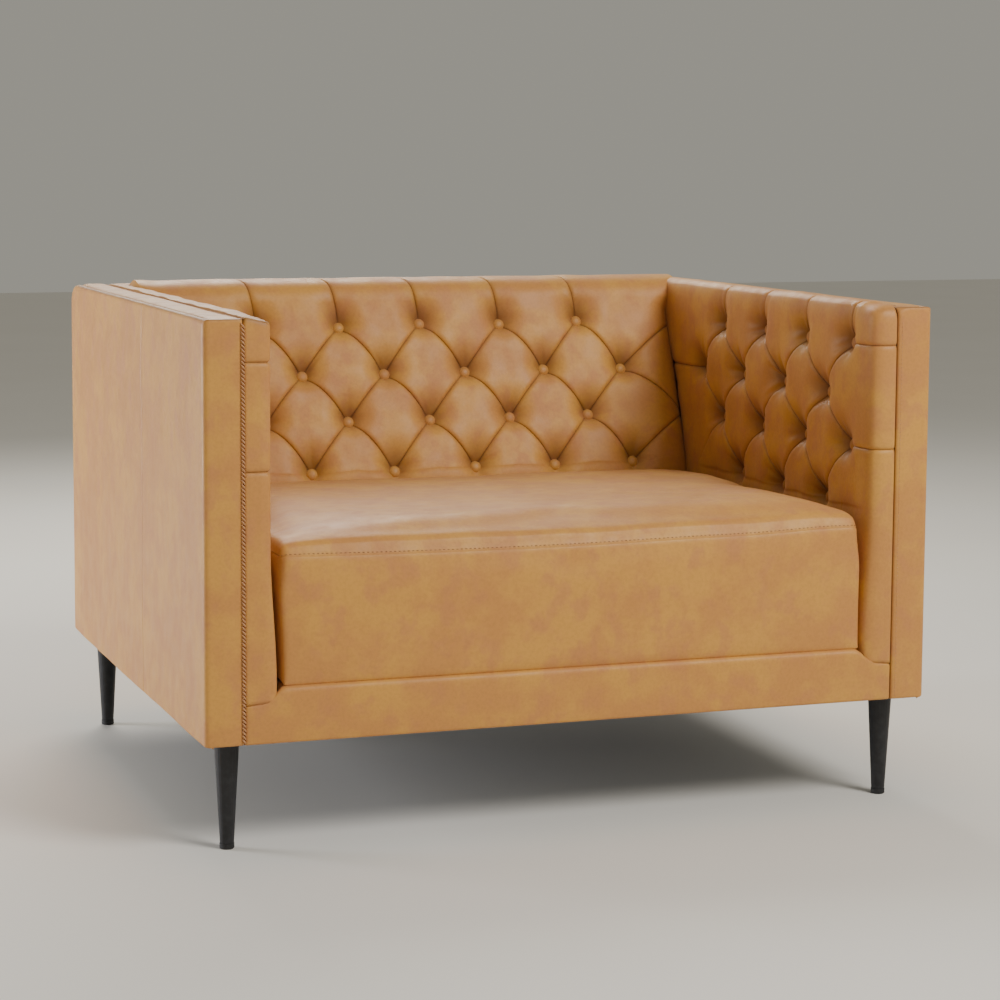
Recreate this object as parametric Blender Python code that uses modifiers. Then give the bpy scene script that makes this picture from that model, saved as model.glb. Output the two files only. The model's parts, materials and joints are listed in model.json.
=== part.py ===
"""A low tuxedo armchair: hardwood frame, springs, pads, leather covers, a loose seat cushion and turned legs.

Metres, +Z up. The front faces -Y, and left is -X. The origin is on the floor under the middle of the chair.
"""

import math

import bmesh
import bpy
from mathutils import Vector

# Overall size
WIDTH = 1.145
DEPTH = 0.98
HEIGHT = 0.77
LEG_HEIGHT = 0.162

# Arms, back and seat
ARM = 0.1065
BAND_WIDTH = 0.058
BAND_THICK = 0.006
COVER = 0.004
PAD_FOOT = 0.2475
FRONT_RAIL_TOP = 0.244
BACK_PAD_FOOT_Y = 0.172
BACK_PAD_BEND_Z = 0.445
BACK_PAD_TOP_Y = 0.2865
BACK_PAD_TOP_Z = 0.748
BACK_PAD_LIP_Y = 0.300
BACK_PAD_SIDE_GAP = 0.003
ARM_PAD_REAR_GAP = 0.0033
DECK_FRONT_SETBACK = 0.0403
DECK_FOOT = 0.2370
DECK_TOP = 0.2467
RAIL_COVER_FLANGE = 0.04

# Frame timber
TIMBER_TOP = 0.752
POST_THICK = 0.032
POST_DEPTH = 0.0597
RAIL_THICK = 0.028
RAIL_TOP = 0.224
TOP_RAIL_HEIGHT = 0.038
ARM_TACK_RAIL_FOOT = 0.262
ARM_TACK_RAIL_TOP = 0.290
BACK_TACK_RAIL_TOP = 0.300
BACK_TACK_RAIL_END_GAP = 0.001
BACK_TOP_RAIL_FRONT = 0.375
BACK_TOP_RAIL_HEIGHT = 0.040
BOARD_THICK = 0.005
BOARD_FOOT_GAP = 0.001
STILE_WIDTH = 0.050
STILE_THICK = 0.026
STILE_FOOT_Y = 0.2256
STILE_SLOPE = 0.28
STILE_OFFSET = 0.43
BLOCK_SIDE = 0.090
BLOCK_HEIGHT = 0.040

# Springs and webbing
SPRING_COUNT = 5
SPRING_PITCH = 0.16
SPRING_WIRE_R = 0.0018
SPRING_SWING = 0.022
SPRING_WAVES = 10
SPRING_POINTS_PER_WAVE = 6
SPRING_ARCH = 0.008
SPRING_LEDGE = 0.014
STRAP_HEIGHT = 0.060
STRAP_THICK = 0.002
STRAP_MIDDLES = (0.36, 0.48, 0.60)
STRAP_END_GAP = 0.004

# Legs
LEG_INSET_SIDE = 0.0455
LEG_INSET_FRONT = 0.0575
LEG_INSET_REAR = 0.064
LEG_TOP_R = 0.0185
LEG_FOOT_R = 0.0102
GLIDE_R = 0.0108
GLIDE_HEIGHT = 0.0083
GLIDE_CHAMFER = 0.0015
STUD_R = 0.004
STUD_TOP = 0.200
STUD_HOLE_R = 0.0045
STUD_DRILL_LENGTH = 0.2
PLATE_SIDE = 0.060
PLATE_THICK = 0.003
DUST_COVER_THICK = 0.0012

# Seat cushion
CUSHION_SIDE_GAP = 0.0035
CUSHION_FRONT_SETBACK = 0.003
CUSHION_REAR = 0.1655
CUSHION_EDGE_TOP = 0.434
CUSHION_CROWN = 0.034
CUSHION_LEATHER = 0.002
CUSHION_FOAM_GAP = 0.002
CUSHION_EDGE_R = 0.016
CUSHION_CUTS = 5
ZIP_HALF_LENGTH = 0.40
ZIP_WIDTH = 0.008

# Clearances: between pieces that touch, and between a cover and what it wraps
GAP = 0.0003
WRAP_GAP = 0.0005

HALF_WIDTH = WIDTH / 2
FRONT = -DEPTH / 2
REAR = DEPTH / 2
SEAT_HALF = HALF_WIDTH - ARM
BAND_INNER = HALF_WIDTH - BAND_WIDTH
COVER_INNER = HALF_WIDTH - COVER
TIMBER_OUT = COVER_INNER - WRAP_GAP
TIMBER_FRONT = FRONT + BAND_THICK + GAP
TIMBER_REAR = REAR - BAND_THICK - GAP
TIMBER_FOOT = LEG_HEIGHT + 3 * GAP + DUST_COVER_THICK + PLATE_THICK
POST_IN = TIMBER_OUT - POST_THICK
BAND_UNDER = HEIGHT - BAND_THICK
ARM_PAD_REAR = BACK_TOP_RAIL_FRONT - ARM_PAD_REAR_GAP
SIDES = {"left": -1, "right": 1}


def clear_scene():
    for old in list(bpy.data.objects):
        bpy.data.objects.remove(old, do_unlink=True)


def new_collection(name, shown):
    collection = bpy.data.collections.new(name)
    bpy.context.scene.collection.children.link(collection)
    collection.hide_render = not shown
    return collection


def material(name, colour, roughness, metallic=0.0):
    made = bpy.data.materials.new(name)
    made.use_nodes = True
    shader = made.node_tree.nodes["Principled BSDF"]
    shader.inputs["Base Color"].default_value = (*colour, 1.0)
    shader.inputs["Roughness"].default_value = roughness
    shader.inputs["Metallic"].default_value = metallic
    return made


clear_scene()
CHAIR = new_collection("tuxedo_armchair", shown=True)
CUTTERS = new_collection("cutters", shown=False)

LEATHER = ("leather", (0.50, 0.26, 0.09), 0.5)
TIMBER = ("timber", (0.62, 0.46, 0.28), 0.7)
FOAM = ("foam", (0.85, 0.80, 0.66), 0.9)
CLOTH = ("deck_cloth", (0.55, 0.47, 0.38), 0.95)
CAMBRIC = ("cambric", (0.03, 0.03, 0.03), 0.95)
WEBBING = ("webbing", (0.35, 0.30, 0.22), 0.9)
SPRING_STEEL = ("spring_steel", (0.45, 0.45, 0.46), 0.4, 1.0)
BLACK_METAL = ("black_metal", (0.03, 0.031, 0.034), 0.55, 0.3)
NYLON = ("black_nylon", (0.02, 0.02, 0.02), 0.6)
ZINC = ("zinc_plate", (0.55, 0.56, 0.58), 0.35, 1.0)


def add_part(name, data, look, collection=CHAIR):
    """Links the data as a named part. The part gets a material of its own, made from the look."""
    part = bpy.data.objects.new(name, data)
    collection.objects.link(part)
    data.materials.clear()
    data.materials.append(material(f"{name}_{look[0]}", *look[1:]))
    return part


def box_mesh(name, low, high):
    """A box between two corners."""
    low, high = Vector(low), Vector(high)
    bm = bmesh.new()
    bmesh.ops.create_cube(bm, size=1.0)
    bmesh.ops.scale(bm, vec=high - low, verts=bm.verts)
    bmesh.ops.translate(bm, vec=(low + high) / 2, verts=bm.verts)
    mesh = bpy.data.meshes.new(name)
    bm.to_mesh(mesh)
    bm.free()
    return mesh


def box(name, low, high, look, collection=CHAIR):
    """A box part between two corners, which may be given in either order along X."""
    low_x, high_x = sorted((low[0], high[0]))
    mesh = box_mesh(name, (low_x, *low[1:]), (high_x, *high[1:]))
    return add_part(name, mesh, look, collection)


def round_edges(part, width, segments=2):
    bevel = part.modifiers.new("round_edges", "BEVEL")
    bevel.width = width
    bevel.segments = segments
    bevel.limit_method = "ANGLE"
    bevel.angle_limit = math.radians(60)


def outline_curve(name, outline, thickness):
    """A flat closed outline of points in its own plane, extruded to a thickness."""
    curve = bpy.data.curves.new(name, "CURVE")
    curve.dimensions = "2D"
    curve.fill_mode = "BOTH"
    spline = curve.splines.new("POLY")
    spline.points.add(len(outline) - 1)
    for point, (across, up) in zip(spline.points, outline):
        point.co = (across, up, 0.0, 1.0)
    spline.use_cyclic_u = True
    curve.extrude = thickness / 2
    return curve


def side_profile(name, outline, low_x, high_x, look):
    """A flat outline of (y, z) points, extruded along X from low_x to high_x."""
    part = add_part(name, outline_curve(name, outline, high_x - low_x), look)
    part.location = ((low_x + high_x) / 2, 0.0, 0.0)
    part.rotation_euler = (math.pi / 2, 0.0, math.pi / 2)
    return part


def plan_shape(name, outline, low_z, high_z, look, collection=CHAIR):
    """A flat outline of (x, y) points, extruded upwards, as a mesh that can be cut."""
    guide = bpy.data.objects.new(f"{name}_outline", outline_curve(name, outline, high_z - low_z))
    CUTTERS.objects.link(guide)
    guide.location.z = (low_z + high_z) / 2
    bpy.context.view_layer.update()
    graph = bpy.context.evaluated_depsgraph_get()
    mesh = bpy.data.meshes.new_from_object(guide.evaluated_get(graph))
    mesh.transform(guide.matrix_world)
    bpy.data.objects.remove(guide)
    bm = bmesh.new()
    bm.from_mesh(mesh)
    bmesh.ops.remove_doubles(bm, verts=bm.verts, dist=1e-5)
    bmesh.ops.recalc_face_normals(bm, faces=bm.faces)
    bm.to_mesh(mesh)
    bm.free()
    return add_part(name, mesh, look, collection)


def combine(part, tool, operation):
    """Adds a Boolean to the part, and turns the tool into a hidden helper."""
    boolean = part.modifiers.new(operation.lower(), "BOOLEAN")
    boolean.operation = operation
    boolean.solver = "EXACT"
    boolean.object = tool
    tool.hide_render = True
    tool.display_type = "WIRE"


def stud_drill(x, y):
    """A helper that bores the hole for one leg's stud."""
    bm = bmesh.new()
    bmesh.ops.create_cone(
        bm,
        cap_ends=True,
        segments=16,
        radius1=STUD_HOLE_R,
        radius2=STUD_HOLE_R,
        depth=STUD_DRILL_LENGTH,
    )
    bmesh.ops.translate(bm, vec=(x, y, LEG_HEIGHT), verts=bm.verts)
    mesh = bpy.data.meshes.new("stud_drill")
    bm.to_mesh(mesh)
    bm.free()
    return add_part("stud_drill", mesh, ZINC, CUTTERS)


def stile_front(z):
    """The raked plane of the back stiles' front faces."""
    return STILE_FOOT_Y + STILE_SLOPE * (z - RAIL_TOP - GAP)


def leg_places():
    """(name, x, y, side, end) of each leg, where side and end are -1 or 1."""
    ends = {"front": (-1, FRONT + LEG_INSET_FRONT), "rear": (1, REAR - LEG_INSET_REAR)}
    for end_name, (end, y) in ends.items():
        for side_name, side in SIDES.items():
            yield f"{end_name}_{side_name}", side * (HALF_WIDTH - LEG_INSET_SIDE), y, side, end


def build_base():
    """The rails that carry the seat, and the corner blocks that take the legs."""
    between_posts = (TIMBER_FRONT + POST_DEPTH + GAP, TIMBER_REAR - POST_DEPTH - GAP)
    rail_in = TIMBER_OUT - RAIL_THICK
    rail_end = POST_IN - GAP
    box(
        "front_rail",
        (-rail_end, TIMBER_FRONT, TIMBER_FOOT),
        (rail_end, TIMBER_FRONT + RAIL_THICK, RAIL_TOP),
        TIMBER,
    )
    box(
        "rear_rail",
        (-rail_end, TIMBER_REAR - RAIL_THICK, TIMBER_FOOT),
        (rail_end, TIMBER_REAR, RAIL_TOP),
        TIMBER,
    )
    box(
        "spring_rail",
        (-rail_in + GAP, STILE_FOOT_Y - SPRING_LEDGE, TIMBER_FOOT),
        (rail_in - GAP, STILE_FOOT_Y + STILE_THICK, RAIL_TOP),
        TIMBER,
    )
    for name, side in SIDES.items():
        box(
            f"side_rail_{name}",
            (side * TIMBER_OUT, between_posts[0], TIMBER_FOOT),
            (side * rail_in, between_posts[1], RAIL_TOP),
            TIMBER,
        )
    for name, x, y, side, end in leg_places():
        corner_x = side * (POST_IN - GAP)
        corner_y = end * (-TIMBER_FRONT - RAIL_THICK - GAP)
        outline = [
            (corner_x, corner_y),
            (corner_x - side * BLOCK_SIDE, corner_y),
            (corner_x, corner_y - end * BLOCK_SIDE),
        ]
        block = plan_shape(
            f"corner_block_{name}", outline, TIMBER_FOOT, TIMBER_FOOT + BLOCK_HEIGHT, TIMBER
        )
        combine(block, stud_drill(x, y), "DIFFERENCE")


def build_arm_frames():
    """Posts, top rails, tack rails and inside boards of both arms."""
    rear_post_front = TIMBER_REAR - POST_DEPTH
    front_post_rear = TIMBER_FRONT + POST_DEPTH
    board_out = POST_IN - GAP
    for name, side in SIDES.items():
        post_out, post_in = side * TIMBER_OUT, side * POST_IN
        box(
            f"front_post_{name}",
            (post_out, TIMBER_FRONT, TIMBER_FOOT),
            (post_in, front_post_rear, TIMBER_TOP),
            TIMBER,
        )
        box(
            f"rear_post_{name}",
            (post_out, rear_post_front, TIMBER_FOOT),
            (post_in, TIMBER_REAR, TIMBER_TOP),
            TIMBER,
        )
        for rail, low_z, high_z in (
            ("top", TIMBER_TOP - TOP_RAIL_HEIGHT, TIMBER_TOP),
            ("tack", ARM_TACK_RAIL_FOOT, ARM_TACK_RAIL_TOP),
        ):
            box(
                f"arm_{rail}_rail_{name}",
                (post_out, front_post_rear + GAP, low_z),
                (post_in, rear_post_front - GAP, high_z),
                TIMBER,
            )
        box(
            f"inside_arm_board_{name}",
            (side * board_out, TIMBER_FRONT, RAIL_TOP + BOARD_FOOT_GAP),
            (side * (board_out - BOARD_THICK), ARM_PAD_REAR, TIMBER_TOP),
            TIMBER,
        )


def build_back_frame():
    """The back's top rail, raked stiles, tack rail and webbing."""
    under_rail = TIMBER_TOP - BACK_TOP_RAIL_HEIGHT
    rail_end = POST_IN - GAP
    box(
        "back_top_rail",
        (-rail_end, BACK_TOP_RAIL_FRONT, under_rail),
        (rail_end, TIMBER_REAR, TIMBER_TOP),
        TIMBER,
    )
    foot, top = RAIL_TOP + GAP, under_rail - GAP
    stile = [
        (stile_front(foot), foot),
        (stile_front(foot) + STILE_THICK, foot),
        (stile_front(top) + STILE_THICK, top),
        (stile_front(top), top),
    ]
    for name, x in (("left", -STILE_OFFSET), ("middle", 0.0), ("right", STILE_OFFSET)):
        side_profile(f"back_stile_{name}", stile, x - STILE_WIDTH / 2, x + STILE_WIDTH / 2, TIMBER)
    tack_end = SEAT_HALF - BACK_TACK_RAIL_END_GAP
    tack_front = stile_front(BACK_TACK_RAIL_TOP) + STILE_THICK + GAP
    box(
        "back_tack_rail",
        (-tack_end, tack_front, BACK_TACK_RAIL_TOP - TOP_RAIL_HEIGHT),
        (tack_end, tack_front + RAIL_THICK, BACK_TACK_RAIL_TOP),
        TIMBER,
    )
    strap_end = SEAT_HALF - STRAP_END_GAP
    for number, middle in enumerate(STRAP_MIDDLES, start=1):
        low_z, high_z = middle - STRAP_HEIGHT / 2, middle + STRAP_HEIGHT / 2
        strap = [
            (stile_front(low_z) - GAP - STRAP_THICK, low_z),
            (stile_front(low_z) - GAP, low_z),
            (stile_front(high_z) - GAP, high_z),
            (stile_front(high_z) - GAP - STRAP_THICK, high_z),
        ]
        side_profile(f"back_webbing_{number}", strap, -strap_end, strap_end, WEBBING)


def build_springs():
    """Sinuous wire springs from the front rail to the spring rail, arched a little."""
    start, end = TIMBER_FRONT + SPRING_LEDGE, STILE_FOOT_Y - SPRING_LEDGE / 3
    base_z = RAIL_TOP + SPRING_WIRE_R + 4 * GAP
    steps = SPRING_WAVES * SPRING_POINTS_PER_WAVE
    for number in range(SPRING_COUNT):
        middle_x = (number - (SPRING_COUNT - 1) / 2) * SPRING_PITCH
        name = f"seat_spring_{number + 1}"
        curve = bpy.data.curves.new(name, "CURVE")
        curve.dimensions = "3D"
        curve.bevel_depth = SPRING_WIRE_R
        curve.bevel_resolution = 1
        curve.use_fill_caps = True
        spline = curve.splines.new("POLY")
        spline.points.add(steps)
        for step, point in enumerate(spline.points):
            along = step / steps
            turn = 2 * math.pi * SPRING_WAVES * along
            x = middle_x + SPRING_SWING * math.sin(turn)
            y = start + (end - start) * along
            z = base_z + SPRING_ARCH * math.sin(math.pi * along)
            point.co = (x, y, z, 1.0)
        add_part(name, curve, SPRING_STEEL)


def build_pads():
    """The foam of the inside arms, the back and the seat deck, as plain solids."""
    pad_top = BAND_UNDER - GAP
    for name, side in SIDES.items():
        pad = box(
            f"inside_arm_pad_{name}",
            (side * (POST_IN - 2 * GAP - BOARD_THICK), TIMBER_FRONT, PAD_FOOT),
            (side * SEAT_HALF, ARM_PAD_REAR, pad_top),
            LEATHER,
        )
        lip = box(
            f"arm_lip_{name}",
            (side * TIMBER_OUT, TIMBER_FRONT, TIMBER_TOP + GAP),
            (side * SEAT_HALF, REAR - COVER - GAP, pad_top),
            LEATHER,
            CUTTERS,
        )
        combine(pad, lip, "UNION")
    rear_top = stile_front(TIMBER_TOP) - STRAP_THICK - 2 * GAP
    rear_foot = stile_front(PAD_FOOT) - STRAP_THICK - 2 * GAP
    back = [
        (BACK_PAD_FOOT_Y, PAD_FOOT),
        (BACK_PAD_FOOT_Y, BACK_PAD_BEND_Z),
        (BACK_PAD_TOP_Y, BACK_PAD_TOP_Z),
        (BACK_PAD_LIP_Y, pad_top),
        (REAR - COVER - GAP, pad_top),
        (REAR - COVER - GAP, TIMBER_TOP + GAP),
        (rear_top, TIMBER_TOP + GAP),
        (rear_foot, PAD_FOOT),
    ]
    back_end = SEAT_HALF - BACK_PAD_SIDE_GAP
    side_profile("inside_back_pad", back, -back_end, back_end, LEATHER)
    deck_end = SEAT_HALF - WRAP_GAP
    box(
        "seat_deck_pad",
        (-deck_end, FRONT + DECK_FRONT_SETBACK, DECK_FOOT),
        (deck_end, BACK_PAD_FOOT_Y - WRAP_GAP, DECK_TOP),
        CLOTH,
    )


def build_covers():
    """The leather outside: side, back, band and front rail covers, and the cloth underneath."""
    for name, side in SIDES.items():
        box(
            f"outside_arm_cover_{name}",
            (side * HALF_WIDTH, TIMBER_FRONT, LEG_HEIGHT),
            (side * COVER_INNER, REAR, BAND_UNDER - GAP),
            LEATHER,
        )
        band = [
            (FRONT, LEG_HEIGHT),
            (FRONT, HEIGHT),
            (REAR, HEIGHT),
            (REAR, BAND_UNDER),
            (FRONT + BAND_THICK, BAND_UNDER),
            (FRONT + BAND_THICK, LEG_HEIGHT),
        ]
        low_x, high_x = sorted((side * HALF_WIDTH, side * BAND_INNER))
        side_profile(f"arm_band_{name}", band, low_x, high_x, LEATHER)
    back_edge = COVER_INNER - GAP
    box(
        "outside_back_cover",
        (-back_edge, REAR - COVER, LEG_HEIGHT),
        (back_edge, REAR, BAND_UNDER - GAP),
        LEATHER,
    )
    band_edge = BAND_INNER - GAP
    box(
        "back_top_band",
        (-band_edge, REAR - BAND_WIDTH, BAND_UNDER),
        (band_edge, REAR, HEIGHT),
        LEATHER,
    )
    rail_cover = [
        (FRONT, LEG_HEIGHT),
        (FRONT, FRONT_RAIL_TOP),
        (FRONT + RAIL_COVER_FLANGE, FRONT_RAIL_TOP),
        (FRONT + RAIL_COVER_FLANGE, FRONT_RAIL_TOP - COVER),
        (FRONT + COVER, FRONT_RAIL_TOP - COVER),
        (FRONT + COVER, LEG_HEIGHT),
    ]
    side_profile("front_rail_cover", rail_cover, -band_edge, band_edge, LEATHER)
    dust = box(
        "dust_cover",
        (-COVER_INNER + GAP, TIMBER_FRONT + GAP, LEG_HEIGHT + GAP),
        (COVER_INNER - GAP, REAR - COVER - WRAP_GAP, LEG_HEIGHT + GAP + DUST_COVER_THICK),
        CAMBRIC,
    )
    for _, x, y, _, _ in leg_places():
        combine(dust, stud_drill(x, y), "DIFFERENCE")


def crowned_block(name, inset, look, collection=CHAIR):
    """The loose seat cushion's form: a box with rounded edges and a crowned top, shrunk by an inset."""
    half_x = SEAT_HALF - CUSHION_SIDE_GAP - inset
    low_y, high_y = FRONT + CUSHION_FRONT_SETBACK + inset, CUSHION_REAR - inset
    low_z, high_z = PAD_FOOT + inset, CUSHION_EDGE_TOP - inset
    bm = bmesh.new()
    bm.from_mesh(box_mesh(name, (-half_x, low_y, low_z), (half_x, high_y, high_z)))
    bmesh.ops.subdivide_edges(bm, edges=bm.edges, cuts=CUSHION_CUTS, use_grid_fill=True)
    middle_y, half_y = (low_y + high_y) / 2, (high_y - low_y) / 2
    for vert in bm.verts:
        if vert.co.z > high_z - 1e-6:
            across = 1 - abs(vert.co.x / half_x) ** 3
            along = 1 - abs((vert.co.y - middle_y) / half_y) ** 3
            vert.co.z += CUSHION_CROWN * math.sqrt(max(across * along, 0.0))
    bmesh.ops.triangulate(bm, faces=bm.faces, quad_method="FIXED")
    mesh = bpy.data.meshes.new(name)
    bm.to_mesh(mesh)
    bm.free()
    part = add_part(name, mesh, look, collection)
    round_edges(part, CUSHION_EDGE_R - inset)
    return part


def build_cushion():
    """Leather cover with a zip opening in its rear side, the foam inside it, and the zip."""
    cover = crowned_block("seat_cushion_cover", 0.0, LEATHER)
    cavity = crowned_block("cushion_cavity", CUSHION_LEATHER, FOAM, CUTTERS)
    combine(cover, cavity, "DIFFERENCE")
    zip_z = (PAD_FOOT + CUSHION_EDGE_TOP) / 2
    slot = box(
        "zip_slot",
        (-ZIP_HALF_LENGTH, CUSHION_REAR - 3 * CUSHION_LEATHER, zip_z - ZIP_WIDTH / 2),
        (ZIP_HALF_LENGTH, CUSHION_REAR + CUSHION_LEATHER, zip_z + ZIP_WIDTH / 2),
        FOAM,
        CUTTERS,
    )
    combine(cover, slot, "DIFFERENCE")
    crowned_block("seat_cushion_foam", CUSHION_LEATHER + CUSHION_FOAM_GAP, FOAM)
    box(
        "seat_cushion_zip",
        (-ZIP_HALF_LENGTH + GAP, CUSHION_REAR - CUSHION_LEATHER, zip_z - ZIP_WIDTH / 2 + GAP),
        (ZIP_HALF_LENGTH - GAP, CUSHION_REAR, zip_z + ZIP_WIDTH / 2 - GAP),
        NYLON,
    )


def turned(name, profile, look, x, y):
    """A turned part: (radius, z) points down its outer side, swept round its own axis."""
    mesh = bpy.data.meshes.new(name)
    edges = [(i, i + 1) for i in range(len(profile) - 1)]
    mesh.from_pydata([(r, 0.0, z) for r, z in profile], edges, [])
    part = add_part(name, mesh, look)
    part.location = (x, y, 0.0)
    screw = part.modifiers.new("turn", "SCREW")
    screw.axis = "Z"
    screw.steps = screw.render_steps = 24
    screw.use_merge_vertices = True
    screw.merge_threshold = 0.00005
    return part


def build_legs():
    """Turned metal legs with a threaded stud each, their glides and mounting plates."""
    shank_foot = GLIDE_HEIGHT + GAP
    leg = [
        (0.0, STUD_TOP),
        (STUD_R, STUD_TOP),
        (STUD_R, LEG_HEIGHT),
        (LEG_TOP_R, LEG_HEIGHT),
        (LEG_FOOT_R, shank_foot),
        (0.0, shank_foot),
    ]
    glide = [
        (0.0, GLIDE_HEIGHT),
        (GLIDE_R, GLIDE_HEIGHT),
        (GLIDE_R, GLIDE_CHAMFER),
        (GLIDE_R - GLIDE_CHAMFER, 0.0),
        (0.0, 0.0),
    ]
    plate_foot = LEG_HEIGHT + 2 * GAP + DUST_COVER_THICK
    half = PLATE_SIDE / 2
    for name, x, y, _, _ in leg_places():
        turned(f"leg_{name}", leg, BLACK_METAL, x, y)
        turned(f"glide_{name}", glide, NYLON, x, y)
        plate = box(
            f"leg_plate_{name}",
            (x - half, y - half, plate_foot),
            (x + half, y + half, plate_foot + PLATE_THICK),
            ZINC,
        )
        combine(plate, stud_drill(x, y), "DIFFERENCE")


def shade_round_parts():
    """Turned parts look round, while their caps and steps stay crisp."""
    for part in CHAIR.objects:
        if part.type == "MESH" and part.name.startswith(("leg_front", "leg_rear", "glide")):
            part.data.shade_smooth()
            part.data.set_sharp_from_angle(angle=math.radians(35))


build_base()
build_arm_frames()
build_back_frame()
build_springs()
build_pads()
build_covers()
build_cushion()
build_legs()
shade_round_parts()
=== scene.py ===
"""Looks of the tufted leather armchair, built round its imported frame. Metres, +Z up, the front faces -Y."""

import json
import math
from itertools import product

import bmesh
import bpy
import numpy as np
from mathutils import Matrix, Vector

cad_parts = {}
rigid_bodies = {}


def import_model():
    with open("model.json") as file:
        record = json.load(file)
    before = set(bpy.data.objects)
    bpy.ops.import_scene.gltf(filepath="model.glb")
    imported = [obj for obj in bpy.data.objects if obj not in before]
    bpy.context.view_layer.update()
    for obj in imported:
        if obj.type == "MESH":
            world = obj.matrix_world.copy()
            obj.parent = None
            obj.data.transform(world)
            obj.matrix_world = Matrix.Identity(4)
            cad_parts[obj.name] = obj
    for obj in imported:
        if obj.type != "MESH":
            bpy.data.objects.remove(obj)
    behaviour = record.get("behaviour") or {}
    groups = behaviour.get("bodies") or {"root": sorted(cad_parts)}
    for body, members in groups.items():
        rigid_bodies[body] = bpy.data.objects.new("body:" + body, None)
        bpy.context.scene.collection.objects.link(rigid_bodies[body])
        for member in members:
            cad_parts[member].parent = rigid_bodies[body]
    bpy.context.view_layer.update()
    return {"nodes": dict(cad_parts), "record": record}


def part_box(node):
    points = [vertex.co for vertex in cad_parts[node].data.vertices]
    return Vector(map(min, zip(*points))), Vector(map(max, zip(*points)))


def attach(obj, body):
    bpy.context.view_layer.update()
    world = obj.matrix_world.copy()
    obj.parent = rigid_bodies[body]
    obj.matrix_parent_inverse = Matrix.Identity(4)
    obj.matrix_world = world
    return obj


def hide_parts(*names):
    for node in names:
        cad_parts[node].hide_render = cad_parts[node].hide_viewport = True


for old in list(bpy.data.objects):
    bpy.data.objects.remove(old, do_unlink=True)

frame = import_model()

MM = 0.001
SIDES = {"left": -1, "right": 1}

# Outside form
HALF_WIDTH = 0.5725
FRONT, REAR = -0.49, 0.49
TOP, FOOT = 0.77, 0.162
SEAM_X = 0.5145
OUT_R = 0.009
TOP_R = 0.006
REAR_R = 0.035
BACK_SEAM_Y = 0.432
HIDE = 0.0016
CURL = 0.0055
SEAM = 0.0035
LAP = 0.0002
FOOT_R = 0.004

# Tufting
BACK_TUFT, ARM_TUFT = 0.021, 0.021
BACK_ROWS = (0.7005, 0.6185, 0.5405, 0.4570)
ARM_ROWS = (0.7085, 0.6280, 0.5500, 0.4590)
BACK_PITCH = 0.147
ARM_PITCH = 0.154
ARM_FIRST = 0.139
ARM_BUTTON_X = 0.491
ARM_BUTTON_FRONT = -0.469
PAD_TOP = 0.752
PAD_FOOT = 0.243
PAD_LINING, BACK_LINING = -0.006, -0.012
CREASE_REACH = 0.0085
BACK_EDGE_X = 0.482
BACK_TOP_Y, BACK_BEND_Z, RAKE = 0.3134, 0.445, 0.378
FIELD_LEVELS = (28, 28, 28, 28, 10)


# Numbers

def smooth(t):
    t = np.clip(t, 0.0, 1.0)
    return t * t * (3 - 2 * t)


def fade(t):
    return 1 - smooth(t)


def dome(t):
    """How far a unit circle falls away from its top, t across from it."""
    return 1 - np.sqrt(np.maximum(1 - t * t, 0.0))


def cusp(distance, width):
    """1 on a line where two soft rolls meet, falling to 0 at the given distance, round-shouldered."""
    return dome(np.clip(1 - np.abs(distance) / width, 0.0, 1.0))


def roll(distance, radius):
    """How far a face recedes within a rounded edge of that radius."""
    return radius * dome(np.clip(1 - distance / radius, 0.0, 1.0))


def bell(distance, width):
    return np.exp(-((distance / width) ** 2))


def cosine_steps(count):
    return 0.5 - 0.5 * np.cos(np.pi * np.arange(count + 1) / count)


EDGE = np.array([0.0, 0.0004, 0.0012, 0.0024, 0.004, 0.006, 0.009])


def edge_steps(low, high, *middle, edge=EDGE):
    """Positions from low to high, close together at both ends."""
    return np.concatenate([low + edge, *middle, (high - edge)[::-1]])


def points_at(x, y, z):
    """An (..., 3) array of points from three arrays or numbers."""
    return np.stack(np.broadcast_arrays(x, y, z), axis=-1)


def waves(points, length, seed, count=9):
    """Smooth ripples between about -1 and 1 over an (..., 3) array of points, the same on each run."""
    draw = np.random.default_rng(seed)
    total = np.zeros(points.shape[:-1])
    for _ in range(count):
        direction = draw.normal(size=3)
        direction /= np.linalg.norm(direction)
        pitch = length * draw.uniform(0.6, 1.6)
        total += np.sin(2 * math.pi * (points @ direction) / pitch + draw.uniform(0, 2 * math.pi))
    return total / math.sqrt(count * 2)


def unit(vectors):
    return vectors / np.maximum(np.linalg.norm(vectors, axis=-1, keepdims=True), 1e-12)


def grid_normals(points):
    """Normals of an (n, m, 3) grid, from its own neighbours."""
    across = np.gradient(points, axis=0)
    down = np.gradient(points, axis=1)
    return unit(np.cross(across, down))


# Meshes

def add_to_scene(name, data):
    made = bpy.data.objects.new(name, data)
    bpy.context.scene.collection.objects.link(made)
    return made


def add_object(name, points, faces, look, body="frame", values=None, weld=0.0):
    mesh = bpy.data.meshes.new(name)
    mesh.from_pydata([tuple(p) for p in points], [], faces)
    if values is not None:
        # The crease attribute: painted shade in creases, hollows and corners, plus darker seam lines.
        layer = mesh.attributes.new("crease", "FLOAT", "POINT")
        layer.data.foreach_set("value", np.asarray(values, np.float32))
    bm = bmesh.new()
    bm.from_mesh(mesh)
    if weld:
        bmesh.ops.remove_doubles(bm, verts=bm.verts, dist=weld)
    bmesh.ops.recalc_face_normals(bm, faces=bm.faces)
    bm.to_mesh(mesh)
    bm.free()
    mesh.shade_smooth()
    mesh.materials.append(look)
    made = add_to_scene(name, mesh)
    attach(made, body)
    return made


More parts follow.
